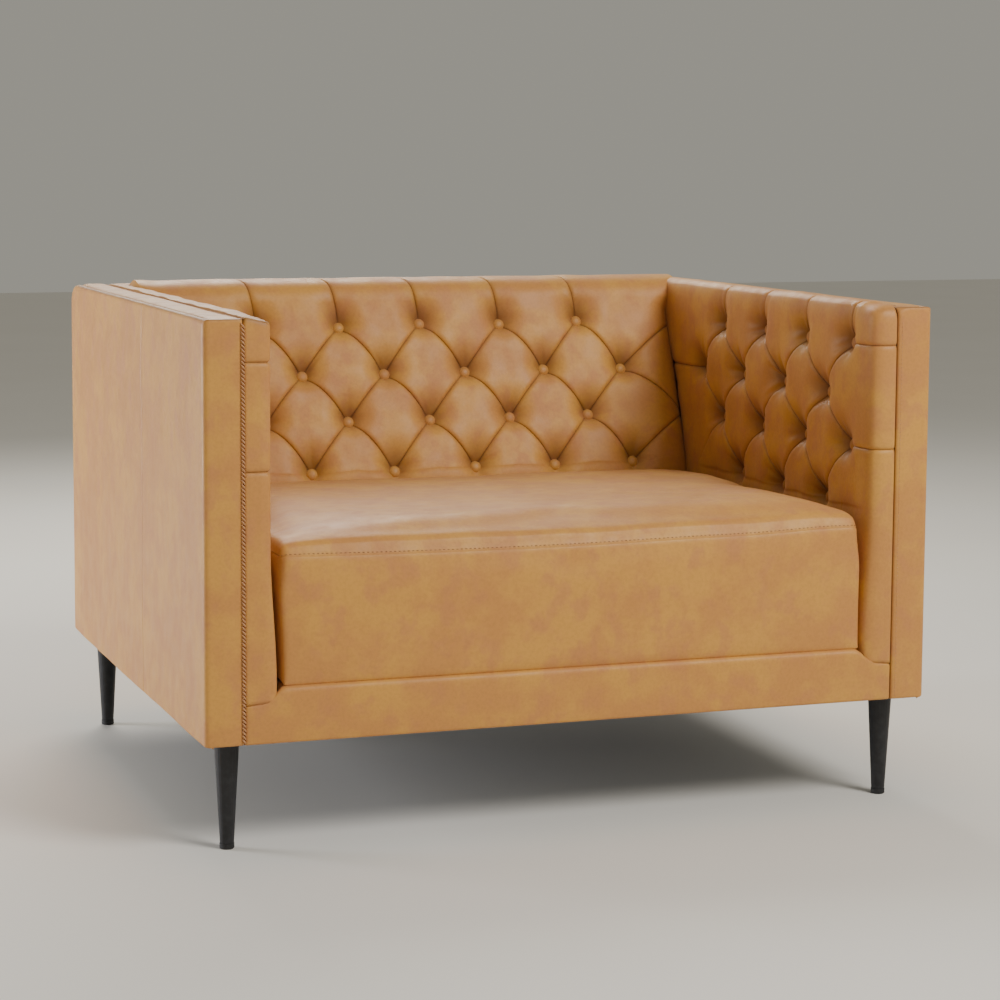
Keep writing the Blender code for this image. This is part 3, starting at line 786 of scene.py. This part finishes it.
def make_side(name, side):
    """An arm's outer hide in one run: the front border, the rolled front edge and the outside of the arm."""
    front_x = SEAM_X + np.concatenate([FINE, np.linspace(0.016, HALF_WIDTH - OUT_R - SEAM_X, 11)[:-1]])
    stations = len(front_x)
    near_join = SIDE_JOIN + np.array([-6, -4, -2.5, -1.2, -0.4, 0, 0.4, 1.2, 2.5, 4, 6]) * MM
    past = REAR - REAR_R * (1 - np.sin(np.linspace(0, math.pi / 2, 9)))
    y = np.concatenate([FRONT + FINE, np.linspace(FRONT + 0.022, REAR - REAR_R, 64)[:-1], past, near_join])
    y = np.concatenate([np.full(stations, FRONT), np.unique(np.round(y, 6))])
    x0 = np.concatenate([front_x, np.full(len(y) - stations, HALF_WIDTH)])[:, None]
    is_front = np.arange(len(y)) < stations
    front = is_front[:, None]
    top = top_of(y)[:, None]
    high = top - np.concatenate([FINE, [0.016, 0.021]])
    low = FOOT + FINE[5::-1]
    middle = low[0] + (high[:, -1:] - low[0]) * np.linspace(0, 1, 44)[-2:0:-1]
    z = np.concatenate([high, middle, np.repeat(low[None], len(y), 0)], axis=1)
    yy = y[:, None]
    distance = outline_distance(yy, z)
    under = roll(z - FOOT, FOOT_R)
    flat = points_at(x0 * side, yy, z)
    fold = bell(yy - (0.24 + 0.02 * np.sin(z * 7)), 0.024)
    fold *= smooth((z - 0.2) / 0.2) * smooth((0.75 - z) / 0.08)
    join = cusp(yy - SIDE_JOIN, SEAM)
    soft = 0.0010 * waves(flat, 0.34, 31 + side) + 0.0004 * waves(flat, 0.09, 33 + side)
    soft = smooth(distance / 0.05) * soft + 0.0018 * smooth(distance / 0.12) - 0.0026 * fold - 0.0017 * join
    x_side = HALF_WIDTH - roll(distance, side_edge_radius(yy)) - under + soft
    seam_gap = np.where(front, x0 - SEAM_X, 1.0)
    edge_r = np.where(front, front_edge_radius(x0, name), 0.004 * fade((yy - FRONT) / 0.02))
    full = smooth(seam_gap / 0.02) * smooth((TOP - z) / 0.03) * smooth((HALF_WIDTH - OUT_R - x0) / 0.02)
    puff = (0.0010 + 0.0007 * waves(flat, 0.17, 41 + side)) * full
    y_front = FRONT + seam_curl(seam_gap) + under - puff
    rounding = np.where(edge_r > 1e-6, roll(TOP - z, np.maximum(edge_r, 1e-6)), 0.0)
    outer = points_at(np.where(front, x0, x_side), np.where(front, y_front, yy) + rounding, z)
    # The wrap over the top, as far as the seam on it
    slope = unit(np.stack([-np.gradient(top[:, 0], y + 1e-7 * np.arange(len(y))), np.ones(len(y))], axis=-1))
    slope[:stations] = (0.0, 1.0)
    reach = side_seam_inset(outer[:, 0, 1]) + 0.0008
    wraps = []
    for share in (1.0, 0.75, 0.55, 0.35, 0.15):
        wrap = outer[:, 0].copy()
        wrap[:, 0] -= np.where(is_front, 0.0, reach * share)
        wrap[:, 1] += np.where(is_front, 0.0014 * share, 0.0)
        wrap[:, 1:] -= slope * (0.7 * CURL * cusp((1 - share) * reach, SEAM))[:, None]
        wraps.append(wrap)
    outer = np.concatenate([np.stack(wraps, axis=1), outer], axis=1)
    crease = np.zeros(outer.shape[:2])
    crease[:, :3] = (0.95, 0.9, 0.5)
    seam_dark = np.maximum(0.6 * join * ~front, FRONT_SEAM_DARK[name] * cusp(seam_gap, SEAM))
    crease[:, 5:] = np.maximum(seam_dark, 0.7 * bell(top - z, 0.0019) * (yy < REAR - REAR_R))
    outer[..., 0] *= side
    covers = (f"outside_arm_cover_{name}", f"arm_band_{name}")
    hide_panel(f"side_leather_{name}", outer, crease, (side, 0, 0), *covers)


def make_top_band(name, side):
    """The border along an arm's top and over its rear corner."""
    straight = np.concatenate([FRONT + FINE, np.linspace(FRONT + 0.016, REAR - REAR_R, 70)[:-1]])
    path_y, path_z, turn = (line[:, None] for line in over_the_rear(straight, 10))
    share = edge_steps(0, 1, np.linspace(0.2, 0.8, 9), edge=np.array([0, 0.01, 0.03, 0.06, 0.1, 0.15]))
    outer_edge = HALF_WIDTH - side_edge_radius(path_y) - side_seam_inset(path_y) + 0.0004
    x = SEAM_X + (outer_edge - SEAM_X) * share
    a_in, a_out, from_front = x - SEAM_X, outer_edge - x, path_y - FRONT
    drop = seam_curl(a_in) * top_seam_depth(path_y, name) + 0.7 * seam_curl(a_out)
    drop = drop + 0.0035 * cusp(from_front, SEAM)
    puff = 0.0016 * smooth(a_in / 0.012) * smooth(a_out / 0.012) * smooth(from_front / 0.03)
    rise = puff * (1 + 0.5 * waves(points_at(x * side, path_y, 0.0), 0.15, 51 + side)) - drop
    y = path_y + (front_edge_radius(x, name) + 0.0016) * (1 - smooth(from_front / 0.05))
    outer = points_at(side * x, y + np.sin(turn) * rise, path_z + np.cos(turn) * rise)
    crease = np.maximum(TOP_SEAM_DARK[name] * cusp(a_in, SEAM), 0.95 * cusp(a_out, 0.0045))
    crease = np.maximum(crease, 0.9 * cusp(from_front, 0.0045))
    hide_panel(f"arm_top_band_{name}", outer, crease, (0, 0, 1))


def make_back_outside():
    """The band along the back's top, rolled over the rear edge, and the panel that closes the back."""
    half = SEAM_X - LAP
    x = edge_steps(-half, half, np.linspace(0.015 - half, half - 0.015, 74))[:, None]
    straight = np.concatenate([BACK_SEAM_Y + EDGE, np.linspace(BACK_SEAM_Y + 0.012, REAR - REAR_R, 4)[:-1]])
    y, z, turn = over_the_rear(straight, 12)
    run = np.concatenate([[0], np.cumsum(np.hypot(np.diff(y), np.diff(z)))])
    left, from_end = run[-1] - run, half - np.abs(x)
    drop = seam_curl(from_end) + seam_curl(run) + 0.6 * seam_curl(left)
    puff = 0.0022 * smooth(from_end / 0.02) * smooth(run / 0.012) * smooth(left / 0.012)
    rise = puff * (1 + 0.5 * waves(points_at(x, y, 0.0), 0.2, 61)) - drop
    outer = points_at(x, y + np.sin(turn) * rise, z + np.cos(turn) * rise)
    crease = 0.8 * np.maximum(cusp(from_end, SEAM), np.maximum(cusp(run, SEAM), cusp(left, 0.003)))
    hide_panel("back_top_band_leather", outer, crease, (0, 0, 1), "back_top_band")

    half, top = HALF_WIDTH - OUT_R + LAP, TOP - REAR_R - LAP
    x = edge_steps(-half, half, np.linspace(0.015 - half, half - 0.015, 80))[:, None]
    z = edge_steps(FOOT, top, np.linspace(FOOT + 0.015, top - 0.015, 44))[::-1]
    from_side, from_top = half - np.abs(x), top - z
    away = np.minimum(from_side, np.minimum(from_top, z - FOOT))
    y = REAR - 0.8 * seam_curl(from_side) - 0.6 * seam_curl(from_top) - roll(z - FOOT, FOOT_R)
    y += (0.0016 + 0.0011 * waves(points_at(x, 0.0, z), 0.38, 71)) * smooth(away / 0.06)
    crease = 0.8 * np.maximum(cusp(from_side, SEAM), cusp(from_top, 0.003))
    hide_panel("outside_back_leather", points_at(x, y, z), crease, (0, 1, 0), "outside_back_cover")


def mitre_height(x):
    """Height of the seam between the front rail and the arm's strip."""
    places = [0.44, 0.455, 0.462, 0.469, 0.477, 0.489, 0.507, SEAM_X]
    return np.interp(np.abs(x), places, [0.2445, 0.244, 0.240, 0.233, 0.227, 0.2225, 0.2205, 0.219])


def make_front_rail():
    """The leather over the front rail. It rolls back under the cushion, and mitres into the arm strips."""
    half = SEAM_X - LAP
    corner = np.linspace(0.44, half - 0.012, 14)
    x = edge_steps(-half, half, -corner[::-1], np.linspace(-0.44, 0.44, 60)[1:-1], corner)[:, None]
    share = edge_steps(0, 1, np.linspace(0.16, 0.84, 12), edge=np.array([0, 0.008, 0.02, 0.04, 0.07, 0.11]))
    top = mitre_height(x)
    z = FOOT + (top - FOOT) * share
    end, from_top = half - np.abs(x), top - z
    in_mitre = smooth((np.abs(x) - 0.455) / 0.012)
    full = smooth(end / 0.02) * smooth(from_top / 0.02) * smooth((z - FOOT) / 0.02)
    y = FRONT + seam_curl(end) + roll(z - FOOT, FOOT_R)
    y += (1 - in_mitre) * roll(from_top, 0.009) + in_mitre * seam_curl(from_top)
    y -= (0.0008 + 0.0008 * waves(points_at(x, 0.0, z), 0.24, 81)) * full
    outer = points_at(x, y, z)
    crease = np.maximum(0.85 * cusp(end, SEAM), 0.75 * in_mitre * cusp(from_top, 0.003))
    flange = []
    for depth in (0.006, 0.015, 0.026, 0.036):
        strip = outer[:, -1].copy()
        strip[:, 1] += depth
        strip[:, 2] -= 0.0004 + 0.018 * in_mitre[:, 0] * min(depth / 0.01, 1.0)
        flange.append(strip)
    outer = np.concatenate([outer, np.stack(flange, axis=1)], axis=1)
    crease = np.concatenate([crease, np.repeat(crease[:, -1:], len(flange), 1)], axis=1)
    hide_panel("front_rail_leather", outer, crease, (0, -1, 0), "front_rail_cover")


# Stitching

def stitch_run(
    name, path, normals, look, body="frame",
    pitch=0.0062, length=0.0046, radius=0.00045, lift=0.0002, slant=0.0,
):
    """A row of separate thread stitches along a path, each dipping into the leather at both ends."""
    run = np.concatenate([[0], np.cumsum(np.linalg.norm(np.diff(path, axis=0), axis=1))])
    points, faces = [], []
    sides, stops = 6, 5

    def at(s, rows):
        return np.array([np.interp(s, run, rows[:, k]) for k in range(3)])

    for number in range(int(run[-1] / pitch)):
        start = (number + 0.5) * pitch - length / 2
        first = len(points)
        for stop in range(stops):
            t = stop / (stops - 1)
            s = start + length * t
            centre = at(s, path)
            normal = unit(at(s, normals))
            along = unit(at(s + 0.001, path) - centre)
            across = unit(np.cross(normal, along))
            bulge = math.sin(math.pi * t)
            centre = centre + normal * (lift + radius * (2.2 * bulge - 1.3)) + across * slant * (t - 0.5)
            thick = radius * (0.55 + 0.45 * bulge)
            for k in range(sides):
                angle = 2 * math.pi * k / sides
                points.append(centre + across * thick * math.cos(angle) + normal * thick * math.sin(angle))
        for a in range(first, len(points) - sides, sides):
            for k, j in zip(range(sides), [*range(1, sides), 0]):
                faces.append([a + k, a + j, a + sides + j, a + sides + k])
        faces.append(list(range(first + sides - 1, first - 1, -1)))
        faces.append(list(range(len(points) - sides, len(points))))
    add_object(name, points, faces, look, body)


ROPE = {"pitch": 0.0058, "length": 0.0090, "radius": 0.0017, "lift": 0.0001, "slant": 0.0064}
FRONT_STITCH = {"left": ROPE, "right": {"length": 0.0044, "lift": -0.0002}}
STITCH_OFFSET = {"left": 0.0010, "right": 0.0070}
STITCH_TOP = {"left": TOP - 0.003, "right": TOP - 0.020}


def make_arm_stitches(name, side):
    """Rope-like stitches over the left arm's front seam, and a fine row beside the right arm's."""
    z = np.linspace(FOOT + 0.004, STITCH_TOP[name], 60)
    front = points_at(side * (SEAM_X + STITCH_OFFSET[name]), FRONT - 0.0006, z)
    normals = np.tile([0.0, -1.0, 0.0], (len(z), 1))
    stitch_run(f"arm_front_stitch_{name}", front, normals, THREAD, **FRONT_STITCH[name])
    y = np.linspace(FRONT + 0.022, BACK_SEAM_Y, 60)
    top = points_at(side * (SEAM_X + 0.007), y, TOP + 0.0010)
    stitch_run(f"arm_top_stitch_{name}", top, np.tile([0.0, 0.0, 1.0], (len(y), 1)), THREAD)


# Seat cushion

CUSHION_HALF = 0.4650
CUSHION_FRONT, CUSHION_REAR = -0.487, 0.1655
CUSHION_FOOT, CUSHION_TOP = 0.2478, 0.4400
CUSHION_SEAM = 0.4250
CUSHION_INSET = 0.006
FILL_LIMIT = 0.007
CUSHION_EDGE = np.array([0.015, 0.034, 0.026])
CUSHION_CORNER = np.full(3, 0.006)
CUSHION_MIDDLE = (CUSHION_REAR + CUSHION_FRONT) / 2


def box_grid(*lines):
    """The six faces of a box over three sets of grid lines, as one closed mesh: (points, faces)."""
    faces, index = [], {}
    for axis, turned_end in ((2, 0), (1, 1), (0, 0)):
        a, b = (k for k in range(3) if k != axis)
        for i, j, end in product(range(len(lines[a]) - 1), range(len(lines[b]) - 1), (0, 1)):
            quad = []
            for di, dj in ((0, 0), (1, 0), (1, 1), (0, 1)):
                key = [end * (len(lines[axis]) - 1)] * 3
                key[a], key[b] = i + di, j + dj
                quad.append(index.setdefault(tuple(key), len(index)))
            faces.append(quad[::-1] if end == turned_end else quad)
    points = np.array([[line[k] for line, k in zip(lines, key)] for key in index])
    return points, faces


def lines_across(half, count):
    """Grid lines from -half to half, closer together at the rounded ends."""
    ends = half - np.array([0.0, 0.003, 0.007, 0.012, 0.018, 0.026])
    return np.concatenate([-ends, np.linspace(-half + 0.038, half - 0.038, count), ends[::-1]])


def round_box(points, half_x, half_y, low, high):
    """Rounds a box's points: widely along the top's front and rear, less at its sides and at the bottom."""
    level = points[:, 2].copy()
    half = np.array([half_x, half_y])
    for sign, radius, face in ((1, CUSHION_EDGE, high), (-1, CUSHION_CORNER, low)):
        inside = level * sign > (face - sign * radius[2]) * sign
        core = np.full_like(points, face - sign * radius[2])
        core[:, :2] = np.clip(points[:, :2], radius[:2] - half, half - radius[:2])
        points = np.where(inside[:, None], core + unit((points - core) / radius) * radius, points)
    upright = (level >= low + CUSHION_CORNER[2]) & (level <= high - CUSHION_EDGE[2])
    blend = smooth((level - high + 2.5 * CUSHION_EDGE[2]) / (1.5 * CUSHION_EDGE[2]))[:, None]
    radius = CUSHION_CORNER[:2] + 0.004 + (CUSHION_EDGE[:2] - CUSHION_CORNER[:2] - 0.004) * blend
    core = points.copy()
    core[:, :2] = np.clip(points[:, :2], radius - half, half - radius)
    away = points - core
    length = np.linalg.norm(away[:, :2] / radius, axis=1)
    turned = upright & (length > 1.001)
    return np.where(turned[:, None], core + away / np.maximum(length, 1e-9)[:, None], points)


def cushion_before_filling():
    """(points, faces, level): a rounded box with rows of points at the seam, and their unrounded heights."""
    half_x = CUSHION_HALF - CUSHION_INSET
    half_y = (CUSHION_REAR - CUSHION_FRONT) / 2 - CUSHION_INSET
    low, high = CUSHION_FOOT + 0.0005, CUSHION_TOP
    rows = [low, low + 0.003, low + 0.007, *np.linspace(low + 0.014, CUSHION_SEAM - 0.014, 12)]
    rows += [CUSHION_SEAM + step * MM for step in (-7, -3, -1.2, 0, 1.2, 3, 7)] + [high]
    points, faces = box_grid(lines_across(half_x, 60), lines_across(half_y, 42), np.array(rows))
    level = points[:, 2].copy()
    points = round_box(points, half_x, half_y, low, high)
    u, v = points[:, 0] / half_x, points[:, 1] / half_y
    crown = np.sqrt(np.maximum((1 - np.abs(u) ** 7) * (1 - np.abs(v) ** 4), 0.0))
    points[:, 2] += 0.022 * crown * (level >= high - 1e-6)
    points[:, 1] += CUSHION_MIDDLE
    return points, faces, level


FRAMES = 20
CLOTH = {
    "quality": 6,
    "mass": 0.4,
    "tension_stiffness": 60,
    "compression_stiffness": 60,
    "shear_stiffness": 25,
    "bending_stiffness": 6.0,
    "use_pressure": True,
    "uniform_pressure_force": 0.7,
    "vertex_group_mass": "held",
}


def fill_cushion(made, level):
    """Inflates the cover with a cloth simulation and returns its points."""
    held = made.vertex_groups.new(name="held")
    held.add(np.nonzero(level < CUSHION_FOOT + 0.003)[0].tolist(), 1.0, "REPLACE")
    settings = made.modifiers.new("fill", "CLOTH").settings
    for key, value in CLOTH.items():
        setattr(settings, key, value)
    settings.effector_weights.gravity = 0.0
    scene = bpy.context.scene
    scene.frame_start, scene.frame_end = 1, FRAMES
    for number in range(1, FRAMES + 1):
        scene.frame_set(number)
    graph = bpy.context.evaluated_depsgraph_get()
    filled = np.array([v.co for v in made.evaluated_get(graph).data.vertices])
    made.modifiers.clear()
    made.vertex_groups.clear()
    scene.frame_set(1)
    return filled


def make_cushion():
    points, faces, level = cushion_before_filling()
    made = add_object("seat_cushion_leather", points, faces, LEATHER, "seat_cushion")
    start = np.array([v.co for v in made.data.vertices])
    x, y = start[:, 0], start[:, 1]
    move = fill_cushion(made, level) - start
    size = np.linalg.norm(move, axis=1, keepdims=True)
    move = move * FILL_LIMIT * np.tanh(size / FILL_LIMIT) / np.maximum(size, 1e-9)
    # The foam holds the sides out, so the cover can't be drawn in there
    side_x = np.sign(x) * (np.abs(x) > CUSHION_HALF - 0.02)
    side_y = np.sign(y - CUSHION_MIDDLE) * (np.abs(y - CUSHION_MIDDLE) > 0.30)
    move[:, 0] += side_x * (0.004 + 0.6 * np.maximum(-move[:, 0] * side_x, 0.0))
    move[:, 1] += side_y * (0.0045 + 0.6 * np.maximum(-move[:, 1] * side_y, 0.0))
    shape = start + move
    # Fullest near the front, and settled at the rear
    upper = smooth((level - 0.38) / 0.04)
    over = upper * fade((y - CUSHION_FRONT) / 0.25)
    hang = fade((level - CUSHION_FOOT) / 0.05) * fade((y - CUSHION_FRONT - 0.004) / 0.03)
    shape[:, 2] += over * (0.0064 + 0.0025 * bell(x - 0.19, 0.16)) - 0.0062 * hang
    shape[:, 2] += upper * 0.004 * bell(x - 0.41, 0.09) * fade((y + 0.1) / 0.2)
    shape[:, 2] -= upper * 0.003 * smooth((y + 0.15) / 0.30)
    shape[:, 2] += 0.0011 * waves(points_at(x, y, 0.0), 0.16, 5) * (level >= CUSHION_TOP - 1e-6)
    shape[:, 1] -= 0.0007 * waves(start, 0.15, 6) * (y < CUSHION_FRONT + 0.02)
    drawn = np.where(x < 0, 0.014, 0.002) * fade((y - CUSHION_FRONT) / 0.14)
    shape[:, 0] *= 1 - drawn * smooth((0.43 - level) / 0.17)
    seam = bell(level - CUSHION_SEAM, 0.0009)
    towards = unit(points_at(side_x, side_y, 0.45))
    edge = np.maximum(np.abs(side_x), np.abs(side_y))
    shape -= towards * (0.0012 * seam * edge)[:, None]
    lowest = np.where(shape[:, 1] < FRONT + 0.036, 0.2410, CUSHION_FOOT)
    shape[:, 0] = np.clip(shape[:, 0], -CUSHION_HALF, CUSHION_HALF)
    shape[:, 1] = np.clip(shape[:, 1], CUSHION_FRONT - 0.001, CUSHION_REAR)
    shape[:, 2] = np.maximum(shape[:, 2], lowest)
    made.data.vertices.foreach_set("co", shape.astype(np.float32).ravel())
    layer = made.data.attributes.new("crease", "FLOAT", "POINT")
    layer.data.foreach_set("value", (0.10 * seam * edge).astype(np.float32))
    made.data.update()
    refine = made.modifiers.new("refine", "SUBSURF")
    refine.levels = refine.render_levels = 1
    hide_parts("seat_cushion_cover", "seat_cushion_foam")
    sewn = np.nonzero((np.abs(level - CUSHION_SEAM - 3 * MM) < 2e-4) & (edge > 0))[0]
    ring = shape[sewn]
    order = np.argsort(np.arctan2((ring[:, 1] - CUSHION_MIDDLE) * 1.4, ring[:, 0]))
    round_again = sewn[np.append(order, order[0])]
    stitch_run("seat_cushion_stitch", shape[round_again], towards[round_again], DARK_THREAD, "seat_cushion",
               pitch=0.0068, length=0.0042, lift=0.0001)


def make_deck():
    """The cloth-covered deck under the cushion, quilted by one line of sewing round its border."""
    low, high = (np.array(corner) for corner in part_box("seat_deck_pad"))
    half_x, half_y = (high[0] - low[0]) / 2 - 0.0005, (high[1] - low[1]) / 2 - 0.0005
    middle = (low + high) / 2
    spans = ((-half_x, half_x, 120), (-half_y, half_y, 76), (low[2], high[2], 5))
    points, faces = box_grid(*(np.linspace(*span) for span in spans))
    level = points[:, 2].copy()
    inside = np.minimum(half_x - np.abs(points[:, 0]), half_y - np.abs(points[:, 1]))
    crown = roll(inside, 0.008) * 0.5 + 0.0022 * cusp(inside - 0.055, 0.009)
    share = (level - low[2]) / (high[2] - low[2])
    points[:, 2] -= crown * share
    points[:, 2] -= 0.0008 * share * (1 + waves(points, 0.12, 91)) * smooth(inside / 0.02)
    points[:, :2] += middle[:2]
    made = add_object("seat_deck_cloth", points, faces, CAD_LOOKS["deck_cloth"], "frame")
    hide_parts("seat_deck_pad")


def make_dust_cover():
    """The thin cloth stapled under the seat, slightly slack in the middle."""
    low, high = (np.array(corner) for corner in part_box("dust_cover"))
    x = np.linspace(low[0], high[0], 60)[:, None]
    y = np.linspace(low[1], high[1], 50)
    u, v = 2 * (x - low[0]) / (high[0] - low[0]) - 1, 2 * (y - low[1]) / (high[1] - low[1]) - 1
    slack = (1 - u**4) * (1 - v**4)
    z = low[2] + 0.0004 + (0.0008 * waves(points_at(x, y, 0.0), 0.13, 95) - 0.0045) * slack
    hide_panel("dust_cover_cloth", points_at(x, y, z), np.zeros_like(z), (0, 0, -1), "dust_cover",
               look=CAD_LOOKS["cambric"], thick=0.0005, slot="cambric")


# Assembly

make_back()
for side_name, side in SIDES.items():
    make_arm(side_name, side)
    make_side(side_name, side)
    make_top_band(side_name, side)
    make_arm_stitches(side_name, side)
make_back_outside()
make_front_rail()
make_buttons()
make_cushion()
make_deck()
make_dust_cover()

for subpart in frame["record"]["subparts"]:
    node = frame["nodes"][subpart["node"]]
    look = CAD_LOOKS.get(subpart["material_slot"])
    if look is not None and not node.hide_render:
        node.data.materials.clear()
        node.data.materials.append(look)


# Stage, lights, camera

def make_floor():
    nodes = Nodes("floor")
    cloudy = nodes.noise(nodes.place(), 1.2, 2.0)
    nodes.set(Base_Color=nodes.mix(cloudy, (226, 222, 214), (232, 229, 222)), Roughness=0.85)
    mesh = bpy.data.meshes.new("floor")
    bm = bmesh.new()
    bmesh.ops.create_grid(bm, x_segments=8, y_segments=8, size=14.0)
    bm.to_mesh(mesh)
    bm.free()
    mesh.materials.append(nodes.material)
    add_to_scene("floor", mesh)


def area_light(name, place, target, size, watts, tone):
    data = bpy.data.lights.new(name, "AREA")
    data.shape = "DISK"
    data.size = size
    data.energy = watts
    data.color = tone
    lamp = add_to_scene(name, data)
    lamp.location = place
    lamp.rotation_euler = (Vector(target) - Vector(place)).to_track_quat("-Z", "Y").to_euler()


make_floor()
area_light("key", (1.7, -3.1, 3.1), (0, 0, 0.45), 1.8, 135, (1.0, 0.975, 0.94))
area_light("window", (-3.3, 1.5, 0.75), (-0.5, 0, 0.5), 1.4, 104, (0.90, 0.92, 1.0))
area_light("behind", (0.2, 2.9, 2.8), (0, 0, 0.6), 2.2, 94, (1.0, 0.965, 0.89))
area_light("fill", (-1.3, -4.2, 1.4), (0, 0, 0.5), 2.4, 9, (1.0, 0.98, 0.95))
world = bpy.data.worlds.new("studio")
world.use_nodes = True
background = world.node_tree.nodes["Background"]
background.inputs["Color"].default_value = (0.84, 0.81, 0.71, 1.0)
background.inputs["Strength"].default_value = 0.38
bpy.context.scene.world = world

YAW, PITCH, TILT = (math.radians(angle) for angle in (18.962, 5.963, 0.237))
LENS, SHIFT_X, SHIFT_Y = 93.6, 0.05, -0.08
CAMERA_PLACE = (-1.4188, -4.0129, 1.0079)
camera_data = bpy.data.cameras.new("camera")
camera_data.lens, camera_data.sensor_width = LENS, 36.0
camera_data.shift_x, camera_data.shift_y = SHIFT_X, SHIFT_Y
camera = add_to_scene("camera", camera_data)
forward = Vector((math.sin(YAW) * math.cos(PITCH), math.cos(YAW) * math.cos(PITCH), -math.sin(PITCH)))
right = Vector((math.cos(YAW), -math.sin(YAW), 0.0))
above = right.cross(forward)
axis_x = right * math.cos(TILT) + above * math.sin(TILT)
axis_y = above * math.cos(TILT) - right * math.sin(TILT)
turned = Matrix((axis_x, axis_y, -forward)).transposed().to_4x4()
turned.translation = CAMERA_PLACE
camera.matrix_world = turned
bpy.context.scene.camera = camera
